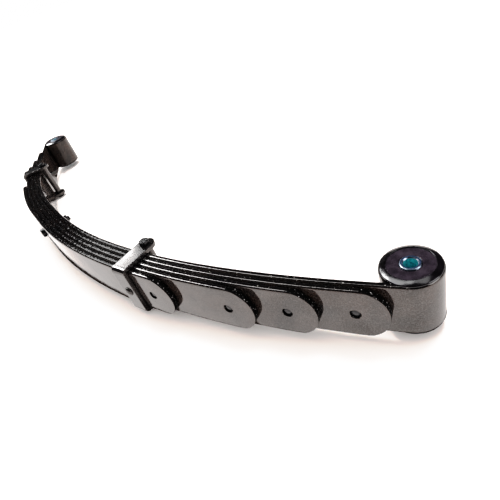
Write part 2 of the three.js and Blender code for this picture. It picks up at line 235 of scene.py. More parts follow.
FLOOR_HALF = 30          # metres
CARD_GAP = 7             # between the spring and the lit sheet on the floor
CARD_STEP = 22           # the sheet steps in this far before each leaf's tip
CARD_POINTS = 12         # points along the sheet's edge are this far apart
CARD_DEPTH = 420
# the dark sheet under the spring is a painted shadow, seen only in reflections
CARD_UNDER = 32          # width of the dark sheet under the spring
CARD_GLOW = 1.5
SHADOW_CARD_GLOW = 0.02
DOME = 9                 # metres from the origin to the panels that the gloss paint mirrors

# name, from and to azimuth, from and to elevation, distance, strength
PANELS = [
    ("ear_panel", (170, 181), (28.4, 32), DOME, 14),
    ("edge_panel", (187, 207), (28.5, 56), DOME, 18),
    ("rim_panel", (178, 189), (34, 47), DOME - 0.1, 14),
    ("backdrop", (118, 215), (0, 28), DOME, 0.08),
    ("far_panel", (150, 182), (5, 16), DOME + 0.1, 8),
    ("side_panel", (6, 42), (20, 44), DOME, 5),
    ("overhead_left", (188, 250), (54, 84), DOME, 5),
    ("overhead_right", (20, 100), (60, 84), DOME, 2),
    ("overhead_middle", (0, 360), (84, 89.5), DOME, 5),
]

# name, azimuth, elevation, width in degrees, strength
SUNS = [
    ("back_light", 104, 68, 16, 1.5),
    ("side_light", 165, 50, 18, 1.2),
]

# strength of the surroundings, by the kind of ray that meets them
SKY = {"seen": 1.0, "mirrored": 0.03, "around": 1.4}

CAMERA_PLACE = (785.12, -43.22, 344.68)
CAMERA_TURN = (52.032, 16.802, 51.432)  # about X, Y and Z, in degrees
CAMERA_LENS = 29.868

# brightness in and out, as film darkens the shadows and lifts the lights
FILM_TONES = [
    (0.03, 0.012), (0.08, 0.055), (0.15, 0.15), (0.35, 0.37), (0.58, 0.58), (0.8, 0.92),
]

# ---------- the arch ----------

ARCH_STEP = 0.5
EYE_CLEAR = 31           # bending ends this far before the eye's centre


def heading(half, u):
    """Heading of the main leaf at distance u from the centre bolt, in radians."""
    past = np.maximum(0, np.asarray(u, float) - SEAT_HALF)
    return half["side"] * (half["bend"] * past - half["ease"] * past * past)


def add_arch_table(half):
    """Points of the main leaf's concave face, by adding up short steps."""
    places = np.arange(0, half["reach"][0] + ARCH_STEP, ARCH_STEP)
    turn = heading(half, places[:-1] + ARCH_STEP / 2)
    steps_x = half["side"] * np.cos(turn) * ARCH_STEP
    steps_y = half["side"] * np.sin(turn) * ARCH_STEP
    half["places"] = places
    half["xs"] = np.concatenate([[0], np.cumsum(steps_x)])
    half["ys"] = np.concatenate([[0], np.cumsum(steps_y)])


def leaf_depth(half, leaf, u):
    """Depth of a leaf's concave face behind the main leaf's concave face."""
    depth = np.zeros_like(np.asarray(u, float))
    for i in range(1, leaf + 1):
        opening = (TIP_GAPS[i] - SEAT_GAP) * (u / half["reach"][i]) ** 2
        depth = depth + LEAF_THICK + SEAT_GAP + opening
    return depth


def leaf_tilt(half, leaf, u):
    """Turn of a leaf against the main leaf, from the depth that grows along it."""
    slope = 0.0
    for i in range(1, leaf + 1):
        slope += 2 * (TIP_GAPS[i] - SEAT_GAP) * half["side"] * u / half["reach"][i] ** 2
    return math.atan(slope)


def arch_place(half, u, depth):
    """X and Y of a point at distance u along the arch and a depth behind its face."""
    turn = heading(half, u)
    x = np.interp(u, half["places"], half["xs"]) + depth * np.sin(turn)
    y = np.interp(u, half["places"], half["ys"]) - depth * np.cos(turn)
    return x, y


def eye_centre(half):
    x, y = arch_place(half, half["reach"][0], -EYE_BORE)
    return float(x), float(y)


def leaf_frame(half, leaf, u, height=0.0):
    """Matrix of the frame on a leaf's concave face: X along it, Y outwards, Z up."""
    x, y = arch_place(half, u, float(leaf_depth(half, leaf, u)))
    turn = float(heading(half, u)) - leaf_tilt(half, leaf, u)
    return Matrix.Translation((float(x), float(y), height)) @ Matrix.Rotation(turn, 4, "Z")


# ---------- meshes ----------


def add_object(name, data):
    obj = bpy.data.objects.new(name, data)
    bpy.context.scene.collection.objects.link(obj)
    return obj


def finish_mesh(name, mesh, materials, sharp=35):
    """Object from a mesh, smooth except at edges sharper than an angle in degrees."""
    mesh.name = name
    mesh.polygons.foreach_set("use_smooth", [True] * len(mesh.polygons))
    mesh.set_sharp_from_angle(angle=math.radians(sharp))
    for material in materials:
        mesh.materials.append(material)
    return add_object(name, mesh)


def tie(obj, body, node):
    """Ties a piece to the body it rides on and hides the CAD node it replaces."""
    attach(obj, body)
    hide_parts(node)


def mesh_from(points, faces):
    """Closed mesh from points in millimetres, with its faces turned out."""
    mesh = bpy.data.meshes.new("piece")
    mesh.from_pydata([tuple(p) for p in points], [], faces)
    work = bmesh.new()
    work.from_mesh(mesh)
    bmesh.ops.remove_doubles(work, verts=work.verts, dist=MERGE)
    bmesh.ops.dissolve_degenerate(work, edges=work.edges, dist=MERGE / 10)
    turn_out(work)
    work.to_mesh(mesh)
    work.free()
    return mesh


def turn_out(work):
    """Turns a closed mesh's faces outwards, by the sign of its volume where it must."""
    bmesh.ops.recalc_face_normals(work, faces=work.faces)
    if work.calc_volume(signed=True) < 0:
        bmesh.ops.reverse_faces(work, faces=work.faces)


def in_metres(mesh, matrix=Matrix.Identity(4)):
    mesh.transform(Matrix.Scale(MM, 4) @ matrix)
    return mesh


def revolve(profile_at, segments):
    """Points and faces of a solid round Z; profile_at(angle) gives its [radius, height].

    A closed profile makes a ring; one that starts and ends on the axis a solid.
    """
    count = len(profile_at(0))
    points = []
    faces = []
    for i in range(segments):
        angle = 2 * math.pi * i / segments
        for radius, height in profile_at(angle):
            points.append((radius * math.cos(angle), radius * math.sin(angle), height))
        here = i * count
        there = ((i + 1) % segments) * count
        for j in range(count - 1):
            faces.append((here + j, there + j, there + j + 1, here + j + 1))
    return points, faces


def turned(name, profile, materials, matrix, segments=96, sharp=35):
    points, faces = revolve(lambda angle: profile, segments)
    mesh = in_metres(mesh_from(points, faces), matrix)
    return finish_mesh(name, mesh, materials, sharp)


def arc(centre, radius, start, stop, steps):
    """Points of an arc in a [radius, height] plane; angles in degrees."""
    out = []
    for i in range(steps + 1):
        angle = math.radians(start + (stop - start) * i / steps)
        out.append((centre[0] + radius * math.cos(angle), centre[1] + radius * math.sin(angle)))
    return out


def dome(radius, crown, rise, steps):
    """Profile of a round head, from its crown on the axis out to its edge."""
    out = []
    for i in range(steps + 1):
        angle = math.pi / 2 * i / steps
        out.append((radius * math.sin(angle), crown + rise * (1 - math.cos(angle))))
    return out


# ---------- bars with rounded edges ----------


def edge_rings(thick, round_by, steps=6, rest=0.4):
    """Section of a bar's edge as (inset, depth) pairs, from one face to the other.

    It ends on each face a short rest past the rounding, so that the face stays flat.
    """
    rings = [(round_by + rest, 0.0)]
    for i in range(steps + 1):
        angle = math.pi / 2 * i / steps
        rings.append((round_by * (1 - math.sin(angle)), round_by * (1 - math.cos(angle))))
    for i in range(steps + 1):
        angle = math.pi / 2 * i / steps
        inset = round_by * (1 - math.cos(angle))
        rings.append((inset, thick - round_by * (1 - math.sin(angle))))
    rings.append((round_by + rest, thick))
    return rings


def plan_outline(places, end, tip_long, tip_half, half_width, steps):
    """Upper half of a bar's plan as (u, offset, normal u, normal offset) points.

    The straight edge follows the places; the end is a quarter ellipse that reaches
    tip_long along the bar and tip_half across it, from the edge inwards.
    """
    outline = [(u, half_width, 0.0, 1.0) for u in places]
    for i in range(1, steps + 1):
        angle = math.pi / 2 * (1 - i / steps)
        normal = Vector((math.cos(angle) / tip_long, math.sin(angle) / tip_half)).normalized()
        outline.append((
            end - tip_long + tip_long * math.cos(angle),
            half_width - tip_half + tip_half * math.sin(angle),
            normal.x,
            normal.y,
        ))
    return outline


def bar_points(outline, rings_at, rows, capped=True):
    """Flat bar of (u, offset, depth) points and its faces.

    rings_at(u) gives the rounded section of the edge at a distance along the bar.
    """
    points = []
    faces = []
    loops = []
    for u, offset, normal_u, normal_o in outline:
        loop = []
        for inset, depth in rings_at(u):
            loop.append((u - inset * normal_u, max(offset - inset * normal_o, 0.0), depth))
        far_side = [(p[0], -p[1], p[2]) for p in reversed(loop)]
        across_back = between(loop[-1], far_side[0], rows)
        across_front = between(far_side[-1], loop[0], rows)
        ring = loop + across_back + far_side + across_front
        loops.append([len(points) + i for i in range(len(ring))])
        points.extend(ring)
    for here, there in zip(loops, loops[1:]):
        count = len(here)
        for i in range(count):
            k = (i + 1) % count
            faces.append((here[i], here[k], there[k], there[i]))
    if capped:
        faces.append(tuple(loops[0]))
    close_end(faces, loops[-1], len(rings_at(0)), rows, points)
    return points, faces


def between(start, stop, rows):
    """Points that divide the way between two points into rows."""
    out = []
    for i in range(1, rows):
        out.append(tuple(a + (b - a) * i / rows for a, b in zip(start, stop)))
    return out


def close_end(faces, loop, ring_count, rows, points):
    """End wall of a bar: joins the last loop's two edges, row by row."""
    upper = loop[:ring_count]
    back = loop[ring_count:ring_count + rows - 1]
    lower = loop[ring_count + rows - 1:2 * ring_count + rows - 1][::-1]
    front = loop[2 * ring_count + rows - 1:][::-1]
    half_width = abs(points[upper[ring_count // 2]][1])
    if half_width < MERGE:
        return
    columns = [upper]
    for k in range(1, rows):
        column = [front[k - 1]]
        for j in range(1, ring_count - 1):
            a = points[upper[j]]
            b = points[lower[j]]
            points.append(tuple(p + (q - p) * k / rows for p, q in zip(a, b)))
            column.append(len(points) - 1)
        column.append(back[k - 1])
        columns.append(column)
    columns.append(lower)
    for left, right in zip(columns, columns[1:]):
        for j in range(ring_count - 1):
            faces.append((left[j], left[j + 1], right[j + 1], right[j]))


def hole_profile(radius, thick):
    """Cutter for a hole: past both faces by a millimetre, and flared at each."""
    past = 1
    mouth = radius + HOLE_FLARE + past
    return [
        (0, -past),
        (mouth, -past),
        (radius, HOLE_FLARE),
        (radius, thick - HOLE_FLARE),
        (mouth, thick + past),
        (0, thick + past),
    ]


def drill(mesh, holes, thick):
    """Cuts round holes through a flat bar along its middle; holes are (u, radius)."""
    plate = add_object("plate", mesh)
    cutters = []
    for u, radius in holes:
        profile = hole_profile(radius, thick)
        points, faces = revolve(lambda angle: profile, HOLE_SEGMENTS)
        cutter = add_object("cutter", mesh_from(points, faces))
        cutter.location = (u, 0, 0)
        modifier = plate.modifiers.new("hole", "BOOLEAN")
        modifier.operation = "DIFFERENCE"
        modifier.solver = "EXACT"
        modifier.object = cutter
        cutters.append(cutter)
    bpy.context.view_layer.update()
    graph = bpy.context.evaluated_depsgraph_get()
    result = bpy.data.meshes.new_from_object(plate.evaluated_get(graph))
    for obj in cutters + [plate]:
        bpy.data.objects.remove(obj)
    return result


def reshape(mesh, mapping):
    """Moves a flat bar's vertices: mapping takes and gives (n, 3) arrays."""
    flat = np.zeros(len(mesh.vertices) * 3)
    mesh.vertices.foreach_get("co", flat)
    moved = mapping(flat.reshape(-1, 3))
    mesh.vertices.foreach_set("co", moved.ravel())
    mesh.update()
    work = bmesh.new()
    work.from_mesh(mesh)
    turn_out(work)
    work.to_mesh(mesh)
    work.free()
    return mesh


# ---------- leaves ----------


def bend_to_leaf(half, leaf):
    """Mapping from a flat bar to a leaf's place; past the reach it rolls the eye."""
    reach = half["reach"][0]
    centre = eye_centre(half)
    end_heading = float(heading(half, reach))

    def mapping(flat):
        u = flat[:, 0]
        depth = leaf_depth(half, leaf, u) + flat[:, 2]
        x, y = arch_place(half, np.minimum(u, reach), depth)
        if leaf == 0:
            turn = (u - reach) / EYE_BORE - math.pi / 2
            if half["side"] > 0:
                angle = end_heading + turn
            else:
                angle = end_heading + math.pi - turn
            radius = EYE_BORE + flat[:, 2]
            rolled = u > reach
            x = np.where(rolled, centre[0] + radius * np.cos(angle), x)
            y = np.where(rolled, centre[1] + radius * np.sin(angle), y)
        return np.stack([x, y, MIDDLE + flat[:, 1]], axis=1)

    return mapping


def even(start, stop, step):
    count = max(1, round((stop - start) / step))
    return [start + (stop - start) * i / count for i in range(count + 1)]


def leaf_half(half, leaf, paint, end_paint):
    """One half of a leaf, from the centre bolt's plane to its tip or round its eye."""
    reach = half["reach"][leaf]
    if leaf == 0:
        end = reach + EYE_BORE * EYE_WRAP
        corner = LEAF_EDGE + 1
        places = even(0, reach, LEAF_STEP) + even(reach, end - corner, EYE_STEP)[1:]
        outline = plan_outline(places, end, corner, corner, MIDDLE, CORNER_STEPS)
    else:
        places = even(0, reach - TIP_LENGTH, LEAF_STEP)
        outline = plan_outline(places, reach, TIP_LENGTH, MIDDLE, MIDDLE, TIP_STEPS)
    trimmed = reach - TIP_LENGTH if leaf > 0 else math.inf

    def rings_at(u):
        sheared = min(1.0, max(0.0, (u - trimmed - TRIM_START) / TRIM_FADE))
        return edge_rings(LEAF_THICK, LEAF_EDGE + (TIP_EDGE - LEAF_EDGE) * sheared)

    points, faces = bar_points(outline, rings_at, LEAF_ROWS)
    mesh = mesh_from(points, faces)
    holes = [(0, CENTRE_BOLT_RADIUS + HOLE_CLEARANCE)]
    if leaf > 0:
        holes.append((reach - PAD_SETBACK, PAD_HOLE_RADIUS))
    if leaf == half["clip_leaf"]:
        holes.append((half["clip"], RIVET_RADIUS + RIVET_ROOM))
    mesh = drill(mesh, holes, LEAF_THICK)
    for face in mesh.polygons:
        is_wall = abs(face.normal.z) < WALL_FACING
        on_end = face.center.x > trimmed + TRIM_START
        in_hole = abs(face.center.y) < PAD_HOLE_RADIUS
        face.material_index = 1 if is_wall and (on_end or in_hole) else 0
    mesh = reshape(mesh, bend_to_leaf(half, leaf))
    mesh = in_metres(mesh)
    name = f"{LEAVES[leaf]}_leaf_{half['name']}_half"
    obj = finish_mesh(name, mesh, [paint, end_paint])
    blend_half(obj)
    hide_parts(f"{LEAVES[leaf]}_leaf")


def blend_half(obj):
    """Bakes a piece's placement into its mesh."""
    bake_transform(obj)


# ---------- pads ----------


def pad(half, leaf, plastic):
    """Low-friction pad on a leaf's tip, with a button in the leaf's hole."""
    place = half["reach"][leaf] - PAD_SETBACK
    opening = SEAT_GAP + (TIP_GAPS[leaf] - SEAT_GAP) * (place / half["reach"][leaf]) ** 2
    top = opening - PAD_CLEARANCE
    bottom = PAD_LIFT
    soft = (top - bottom) * PAD_EDGE
    profile = dome(PAD_BUTTON_RADIUS, -PAD_BUTTON_DEPTH, PAD_BUTTON_DOME, 8)
    profile += [(PAD_BUTTON_RADIUS, bottom)]
    profile += arc((PAD_RADIUS - soft, bottom + soft), soft, 270, 360, 3)
    profile += arc((PAD_RADIUS - soft, top - soft), soft, 0, 90, 3)
    profile += [(0, top)]
    matrix = leaf_frame(half, leaf, place, MIDDLE) @ Matrix.Rotation(-math.pi / 2, 4, "X")
    name = f"{LEAVES[leaf]}_tip_pad_{half['name']}"
    obj = turned(name, profile, [plastic], matrix, 64)
    blend_half(obj)
    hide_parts(f"{LEAVES[leaf]}_leaf_{half['name']}_pad")


# ---------- eyes ----------


def bush(half, upper, rubber, shaded_rim_rubber):
    """One half of the bush pair: barrel, flange and rounded rim, the rim in a darker copy of
    the rubber as painted shade.
    """
    inner = SLEEVE_RADIUS + BUSH_FIT
    under = MIDDLE + REST_GAP
    corner = (BUSH_FLANGE - BUSH_CORNER, under + BUSH_CORNER)
    profile = [(inner, REST_GAP), (BUSH_BARREL, REST_GAP), (BUSH_BARREL, under)]
    profile += arc(corner, BUSH_CORNER, 270, 360, 3)
    profile += rim_points()
    profile += face_ripples(inner)
    profile += [(inner, MIDDLE + BUSH_FACE - BUSH_MOUTH), (inner, REST_GAP)]
    matrix = Matrix.Translation((*eye_centre(half), MIDDLE))
    if not upper:
        matrix = matrix @ Matrix.Rotation(math.pi, 4, "X")
    end = "upper" if upper else "lower"
    looks = [rubber, shaded_rim_rubber]
    name = f"{half['name']}_bush_{end}_half"
    obj = turned(name, profile, looks, matrix, BUSH_SEGMENTS, sharp=50)
    # faces out on the rim take the darker rubber: painted shade on the rim
    axis = Vector(eye_centre(half)) * MM
    for face in obj.data.polygons:
        on_rim = (face.center.xy - axis).length > BUSH_RIM_START * MM
        face.material_index = 1 if on_rim else 0
    tie(obj, f"{half['name']}_eye", f"{half['name']}_bush_{end}")


def rim_points():
    """Raised rim of the flange: a conical slope from its foot up to a round crest."""
    crest = MIDDLE + BUSH_CREST
    foot = (BUSH_FLANGE - BUSH_FOOT_ROUND, crest - BUSH_SLOPE_RISE - BUSH_FOOT_DROP)
    top = (BUSH_RIM_START + BUSH_CREST_SET, crest - BUSH_CREST_ROUND)
    out = arc(foot, BUSH_FOOT_ROUND, 0, 62, 8)
    out += arc(top, BUSH_CREST_ROUND, 66, 180, 6)
    out.append((BUSH_RIM_START, MIDDLE + BUSH_FACE - GROOVE_DEPTH))
    out.append((BUSH_RIM_START - GROOVE_WIDTH, MIDDLE + BUSH_FACE - GROOVE_LIP))
    return out


def face_ripples(inner):
    """Moulded face between rim and sleeve, with faint rings."""
    outer = BUSH_RIM_START - RING_OUTER_SET
    out = []
    for i in range(RING_STEPS + 1):
        radius = outer + (inner + BUSH_MOUTH - outer) * i / RING_STEPS
        wave = RING_HEIGHT * math.sin(2 * math.pi * radius / RING_PITCH)
        out.append((radius, MIDDLE + BUSH_FACE + wave))
    return out


def sleeve(half, steel, liner, end_look):
    """Steel sleeve: bright bevels, end faces in a darker blue plate as painted shade, and a
    coloured lining in its bore.
    """
    top = MIDDLE + SLEEVE_PROUD
    bevel = SLEEVE_CHAMFER
    ease = SLEEVE_EASE
    outside = [
        (SLEEVE_RADIUS, -top + bevel),
        (SLEEVE_RADIUS, top - bevel),
        (SLEEVE_RADIUS - ease, top - bevel + 1.2 * ease),
        (SLEEVE_RADIUS - bevel + ease, top - 0.8 * ease),
        (SLEEVE_RADIUS - bevel - ease, top),
        (SLEEVE_BORE + SLEEVE_INNER_CHAMFER, top),
        (SLEEVE_BORE + ease / 2, top - SLEEVE_INNER_CHAMFER),
    ]
    wall = top - SLEEVE_INNER_CHAMFER - ease / 2
    bore = [(SLEEVE_BORE, wall - 2 * wall * i / BORE_STEPS) for i in range(BORE_STEPS + 1)]
    mirrored = [(r, -h) for r, h in reversed(outside[2:])]
    profile = outside + bore + mirrored + [outside[0]]
    matrix = Matrix.Translation((*eye_centre(half), MIDDLE))
    looks = [steel, liner, end_look]
    obj = turned(f"{half['name']}_sleeve_tube", profile, looks, matrix, 96, sharp=25)
    centre = Vector((*eye_centre(half), MIDDLE)) * MM
    for face in obj.data.polygons:
        if (face.center - centre).xy.length < (SLEEVE_BORE + ease / 3) * MM:
            face.material_index = 1
        # flat end faces take the dark blue plate: painted shade
        elif abs(face.normal.z) > END_FACING:
            face.material_index = 2
    tie(obj, f"{half['name']}_sleeve", f"{half['name']}_eye_sleeve")


# ---------- fasteners ----------


def hex_piece(name, flats, bottom, top, steel, matrix, bore=0.0, cone_bottom=True):
    """Hexagon head or nut, its corners coned off at 30 degrees, edges eased."""
    face = flats / 2 * HEX_FACE
    corner = HEX_EASE * 0.3

    def drop(r):
        return max(0.0, r - face) * HEX_CONE

    def profile_at(angle):
        off_flat = (angle + math.pi / 6) % (math.pi / 3) - math.pi / 6
        edge = flats / 2 / math.cos(off_flat)
        low = bottom + (drop(edge) if cone_bottom else 0.0)
        high = top - drop(edge)
        profile = [
            (bore, bottom),
            (face if cone_bottom else edge - HEX_EASE, bottom),
            (edge - corner, low + corner),
            (edge, low + HEX_EASE),
            (edge, high - HEX_EASE),
            (edge - corner, high - corner),
            (edge - HEX_EASE, top - drop(edge - HEX_EASE)),
            (face, top),
            (bore, top),
        ]
        return profile + [(bore, bottom)] if bore else profile

    points, faces = revolve(profile_at, HEX_SEGMENTS)
    mesh = in_metres(mesh_from(points, faces), matrix)
    return finish_mesh(name, mesh, [steel], sharp=28)


def hex_nut(name, flats, low, height, bolt_radius, steel, matrix):
    bore = bolt_radius + NUT_FIT
    return hex_piece(name, flats, low, low + height, steel, matrix, bore)


def thread_points(radius, start, stop):
    """Rolled thread as rings, from start to stop along the height."""
    out = []
    direction = 1 if stop > start else -1
    turns = max(1, round(abs(stop - start) / THREAD_PITCH))
    pitch = abs(stop - start) / turns
    for i in range(turns):
        z = start + direction * pitch * i
        out.append((radius - THREAD_DEPTH, z))
        for share in THREAD_CREST:
            out.append((radius - THREAD_TOP, z + direction * pitch * share))
    out.append((radius - THREAD_DEPTH, stop))
    return out


def join(objects, name):
    """Joins mesh objects into one, in code, keeping their materials' order."""
    work = bmesh.new()
    for obj in objects:
        work.from_mesh(obj.data)
    mesh = bpy.data.meshes.new(name)
    work.to_mesh(mesh)
    work.free()
    materials = list(objects[0].data.materials)
    for obj in objects:
        bpy.data.objects.remove(obj)
    return finish_mesh(name, mesh, materials, sharp=28)


def centre_bolt(steel):
    """Round-headed bolt through the middle of the pack, and its hexagon nut."""
    under = -(float(leaf_depth(NEAR, 4, 0.0)) + LEAF_THICK) - REST_GAP
    crown = under - CENTRE_HEAD_HEIGHT
    rounding = (CENTRE_HEAD_RADIUS - CENTRE_HEAD_ROUND, crown + CENTRE_HEAD_ROUND)
    profile = [(0, crown), (CENTRE_HEAD_FLAT, crown)]
    profile += arc(rounding, CENTRE_HEAD_ROUND, 270, 360, 5)
    profile += [(CENTRE_HEAD_RADIUS, under), (CENTRE_BOLT_RADIUS, under)]
    profile += [(CENTRE_BOLT_RADIUS, REST_GAP - 1)]
    thread_end = CENTRE_THREAD_END - CENTRE_POINT[1]
    profile += thread_points(CENTRE_BOLT_RADIUS, REST_GAP + 0.2, thread_end)
    point = CENTRE_BOLT_RADIUS - CENTRE_POINT[0]
    profile += [(point, CENTRE_THREAD_END), (0, CENTRE_THREAD_END)]
    matrix = Matrix.Translation((0, 0, MIDDLE)) @ Matrix.Rotation(-math.pi / 2, 4, "X")
    bolt = turned("centre_bolt_turned", profile, [steel], matrix, 64, sharp=28)
    nut_size = (CENTRE_HEX_FLATS, REST_GAP, CENTRE_NUT_HEIGHT, CENTRE_BOLT_RADIUS)
    nut = hex_nut("centre_nut", *nut_size, steel, matrix)
    tie(bolt, "leaf_pack", "centre_bolt")
    tie(nut, "leaf_pack", "centre_bolt_nut")


# ---------- bolt clips ----------


def clip_rows(half):
    """Where a clip's faces lie in the frame of the leaf that carries it."""
    web = -LEAF_THICK - STRAP_CLEARANCE
    bottom = -STRAP_CLEARANCE - STRAP_THICK
    return {
        "web": web,
        "back": web - STRAP_THICK,
        "bolt": float(leaf_depth(half, half["clip_leaf"], half["clip"])) + CLIP_BOLT_REACH,
        "high": LEAF_WIDTH + STRAP_CLEARANCE,
        "top": LEAF_WIDTH + STRAP_CLEARANCE + STRAP_THICK,
        "nut": bottom - REST_GAP - CLIP_NUT_HEIGHT,
    }


def bend_to_strap(rows):
    """Mapping from a flat bar to the upper half of a clip's U."""
    inner = STRAP_INNER_BEND
    web_end = rows["high"] - inner - MIDDLE
    bend_long = math.pi / 2 * (inner + STRAP_THICK / 2)

    def mapping(flat):
        u = flat[:, 0]
        depth = flat[:, 2]
        angle = np.clip((u - web_end) / bend_long, 0, 1) * math.pi / 2
        past = np.maximum(0, u - web_end - bend_long)
        before = np.minimum(u, web_end)
        y = rows["web"] + inner - (inner + depth) * np.cos(angle) + past
        z = MIDDLE + before + (inner + depth) * np.sin(angle)
        return np.stack([flat[:, 1], y, z], axis=1)

    return mapping, web_end, bend_long


def strap(half, rows, paint, frame):
    """Clip strap bent to a U round the leaves, with a round end on each ear."""
    mapping, web_end, bend_long = bend_to_strap(rows)
    ear = rows["bolt"] + STRAP_WIDTH / 2 - rows["web"] - STRAP_INNER_BEND
    end = web_end + bend_long + ear
    round_end = STRAP_WIDTH / 2
    places = even(0, web_end, STRAP_STEP)
    places += even(web_end, web_end + bend_long, BEND_STEP)[1:]
    places += even(web_end + bend_long, end - round_end, STRAP_STEP)[1:]
    outline = plan_outline(places, end, round_end, round_end, STRAP_WIDTH / 2, 24)
    rings = edge_rings(STRAP_THICK, STRAP_EDGE, 4)
    points, faces = bar_points(outline, lambda u: rings, 6, capped=False)
    bent = mapping(np.array(points, float))
    count = len(bent)
    mirrored = bent.copy()
    mirrored[:, 2] = LEAF_WIDTH - mirrored[:, 2]
    both = np.concatenate([bent, mirrored])
    all_faces = faces + [tuple(i + count for i in reversed(face)) for face in faces]
    mesh = in_metres(mesh_from(both, all_faces), frame)
    return finish_mesh(f"{half['name']}_strap", mesh, [paint])


def clip_rivet(name, rows, paint, matrix):
    """Round-headed rivet through the strap's web and the leaf."""
    seat = rows["back"] - REST_GAP
    tail = rows["web"] + STRAP_CLEARANCE + LEAF_THICK - REST_GAP
    profile = dome(RIVET_HEAD_RADIUS, seat - RIVET_HEAD_HEIGHT, RIVET_HEAD_HEIGHT, 10)
    profile += [(RIVET_RADIUS, seat), (RIVET_RADIUS, tail), (0, tail)]
    return turned(name, profile, [paint], matrix, FASTENER_SEGMENTS)


def clip_bolt(name, rows, steel, matrix):
    """Hexagon-headed bolt down through both ears, threaded at its lower end."""
    under = rows["top"] + REST_GAP
    end = rows["nut"] - CLIP_BOLT_PROUD
    thread_top = rows["nut"] + CLIP_THREAD_LENGTH
    shank = [(0, end), (CLIP_BOLT_RADIUS - BOLT_POINT, end)]
    shank += thread_points(CLIP_BOLT_RADIUS, end + 0.4, thread_top)
    shank += [(CLIP_BOLT_RADIUS, thread_top + 0.6), (CLIP_BOLT_RADIUS, under), (0, under)]
    shaft = turned("shaft", shank, [steel], matrix, FASTENER_SEGMENTS)
    head_top = under + CLIP_HEAD_HEIGHT
    cap = hex_piece("cap", CLIP_HEX_FLATS, under, head_top, steel, matrix, cone_bottom=False)
    return join([cap, shaft], name)


def clip_spacer(name, paint, matrix):
    """Tube round the bolt, which keeps the strap's ears apart."""
    inner = CLIP_BOLT_RADIUS + HOLE_CLEARANCE
    middle = TUBE_RADIUS - TUBE_EDGE
    profile = [(inner, 0.0)]
    profile += arc((middle, TUBE_EDGE), TUBE_EDGE, 270, 360, 4)
    profile += arc((middle, LEAF_WIDTH - TUBE_EDGE), TUBE_EDGE, 0, 90, 4)
    profile += [(inner, LEAF_WIDTH), (inner, 0.0)]
    return turned(name, profile, [paint], matrix, FASTENER_SEGMENTS)


def clip(half, paint, steel):
    """Strap, rivet, bolt, spacer tube and nut of one bolt clip."""
    name = half["name"]
    rows = clip_rows(half)
    frame = leaf_frame(half, half["clip_leaf"], half["clip"])
    across = frame @ Matrix.Translation((0, 0, MIDDLE)) @ Matrix.Rotation(-math.pi / 2, 4, "X")
    on_bolt = frame @ Matrix.Translation((0, rows["bolt"], 0))
    nut_size = (CLIP_HEX_FLATS, rows["nut"], CLIP_NUT_HEIGHT, CLIP_BOLT_RADIUS)
    pieces = [
        (strap(half, rows, paint, frame), "strap", "clip_paint"),
        (clip_rivet(f"{name}_rivet", rows, paint, across), "rivet", "clip_paint"),
        (clip_bolt(f"{name}_bolt", rows, steel, on_bolt), "bolt", "fastener_steel"),
        (hex_nut(f"{name}_nut", *nut_size, steel, on_bolt), "nut", "fastener_steel"),
        (clip_spacer(f"{name}_spacer", paint, on_bolt), "spacer", "clip_paint"),
    ]
    for obj, node, slot in pieces:
        tie(obj, f"{name}_clip", f"{name}_clip_{node}")


# ---------- materials ----------


def new_material(name, kind="ShaderNodeBsdfPrincipled"):
    material = bpy.data.materials.new(name)
    material.use_nodes = True
    tree = material.node_tree
    tree.nodes.clear()
    shader = tree.nodes.new(kind)
    output = tree.nodes.new("ShaderNodeOutputMaterial")
    tree.links.new(shader.outputs[0], output.inputs["Surface"])
    return material, tree, shader


def feed(tree, node, inputs):
    """Gives a node its inputs by name: numbers, colours or outputs of other nodes."""
    for name, value in inputs.items():
        if isinstance(value, bpy.types.NodeSocket):
            tree.links.new(value, node.inputs[name])
        else:
            node.inputs[name].default_value = value


def noise(tree, scale, detail=3.0, roughness=0.55, stretch=(1, 1, 1)):
    """Noise over the object's own coordinates, which are metres."""
    place = tree.nodes.new("ShaderNodeTexCoord")
    mapping = tree.nodes.new("ShaderNodeMapping")
    feed(tree, mapping, {"Vector": place.outputs["Object"], "Scale": stretch})
    texture = tree.nodes.new("ShaderNodeTexNoise")
    feed(tree, texture, {
        "Vector": mapping.outputs["Vector"],
        "Scale": scale,
        "Detail": detail,
        "Roughness": roughness,
    })
    return texture.outputs["Fac"]


def remap(tree, value, low, high, to_low, to_high):
    """Stretches low..high to to_low..to_high and holds the ends."""
    node = tree.nodes.new("ShaderNodeMapRange")
    names = ("Value", "From Min", "From Max", "To Min", "To Max")
    feed(tree, node, dict(zip(names, (value, low, high, to_low, to_high))))
    return node.outputs["Result"]


def mix_colours(tree, factor, first, second):
    node = tree.nodes.new("ShaderNodeMix")
    node.data_type = "RGBA"
    tree.links.new(factor, node.inputs["Factor"])
    for socket, colour in ((node.inputs[6], first), (node.inputs[7], second)):
        if isinstance(colour, tuple):
            socket.default_value = (*colour, 1)
        else:
            tree.links.new(colour, socket)
    return node.outputs[2]


def bump(tree, height, distance, strength=1.0, normal=None):
    """Bumps of a height pattern; the distance is in millimetres."""
    node = tree.nodes.new("ShaderNodeBump")
    feed(tree, node, {"Height": height, "Distance": distance * MM, "Strength": strength})
    if normal is not None:
        feed(tree, node, {"Normal": normal})
    return node.outputs["Normal"]


def calculate(tree, operation, *values):
    node = tree.nodes.new("ShaderNodeMath")
    node.operation = operation
    for value, socket in zip(values, node.inputs):
        tree.links.new(value, socket)
    return node.outputs[0]


def times(tree, first, second):
    return calculate(tree, "MULTIPLY", first, second)


def pick(tree, factor, first, second):
    """The first value where the factor is 0, the second where it is 1."""
    mix = tree.nodes.new("ShaderNodeMix")
    mix.data_type = "FLOAT"
    for value, number in ((factor, 0), (first, 2), (second, 3)):
        tree.links.new(value, mix.inputs[number])
    return mix.outputs[0]


def part_of(tree, node_type, output, axis):
    """One axis of a vector that a node gives out."""
    source = tree.nodes.new(node_type)
    split = tree.nodes.new("ShaderNodeSeparateXYZ")
    tree.links.new(source.outputs[output], split.inputs[0])
    return split.outputs[axis]


